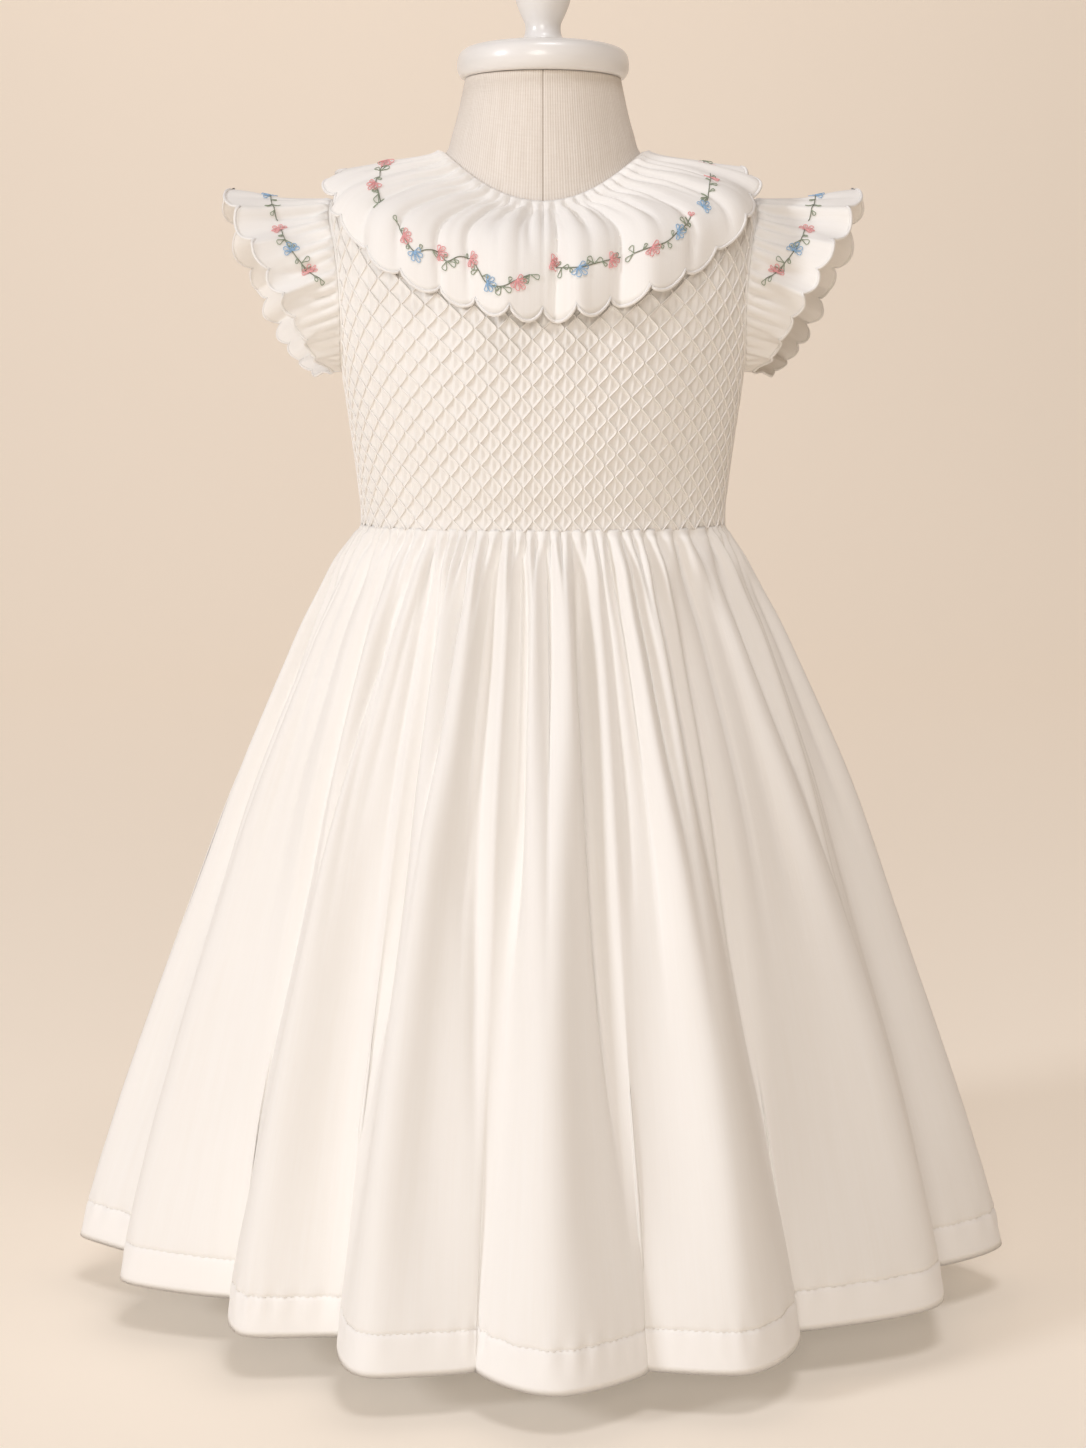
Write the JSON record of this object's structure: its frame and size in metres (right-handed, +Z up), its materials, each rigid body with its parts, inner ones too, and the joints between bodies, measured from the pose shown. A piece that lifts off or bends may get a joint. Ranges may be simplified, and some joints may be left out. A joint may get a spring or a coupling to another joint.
{
  "type": "embroidered dress on a dress form",
  "caption": "White cotton child's dress with a lattice-smocked bodice, scalloped ruffle collar, flutter sleeves and gathered skirt, embroidered with a flower vine, on a limbless dress form",
  "frame": {"origin": "middle of the underside of the stand's round base, on the surface that it stands on", "axes": "+Z up, -Y towards the front of the dress, +X towards the wearer's left"},
  "size_m": [0.5064, 0.4188, 0.7111],
  "materials": {
    "cotton": "fine ivory-white cotton lawn, matt, with embroidery in pink, blue and green thread",
    "button_shell": "white pearly button, glossy",
    "form_linen": "natural ribbed linen stretched over the form, matt",
    "turned_paint": "turned wood painted white, semi-gloss",
    "stand_paint": "white painted metal, semi-gloss"
  },
  "bodies": {
    "root": {"bodice_front": "cotton", "bodice_back_left": "cotton", "bodice_back_right": "cotton", "back_placket": "cotton", "button_1": "button_shell", "button_2": "button_shell", "button_3": "button_shell", "button_4": "button_shell", "collar_ruffle": "cotton", "sleeve_left": "cotton", "sleeve_right": "cotton", "skirt_front": "cotton", "skirt_back": "cotton", "form_torso": "form_linen", "neck_cap": "turned_paint", "finial": "turned_paint", "form_pole": "stand_paint", "form_base": "stand_paint"}
  },
  "joints": []
}
